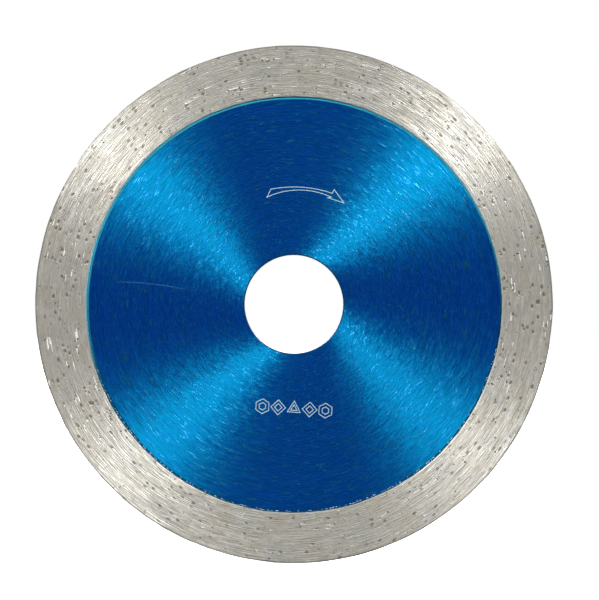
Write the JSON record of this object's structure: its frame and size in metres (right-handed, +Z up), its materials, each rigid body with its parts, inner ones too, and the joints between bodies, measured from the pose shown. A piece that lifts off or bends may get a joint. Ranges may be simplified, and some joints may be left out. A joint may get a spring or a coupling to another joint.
{
  "type": "diamond blade",
  "caption": "Continuous-rim diamond cutting blade: a flat steel core with a plain bore, a sintered diamond rim, blue lacquer on both sides and an etched rotation arrow.",
  "frame": {"origin": "centre of the bore, at half the blade's thickness", "axes": "+Y along the spin axis, away from the front; the front, with the rotation arrow, faces -Y; +Z up, towards the arrow; +X to the right as seen from the front"},
  "size_m": [0.105, 0.0018, 0.105],
  "materials": {
    "steel": "circular brushed",
    "bond": "circular ground, pitted",
    "lacquer": "translucent gloss over brushed steel",
    "diamond": "dark faceted grains"
  },
  "bodies": {
    "root": {"steel_core": "steel", "diamond_rim": "bond", "front_lacquer": "lacquer", "back_lacquer": "lacquer", "grit_front": "diamond", "grit_back": "diamond", "grit_edge": "diamond"}
  },
  "joints": []
}
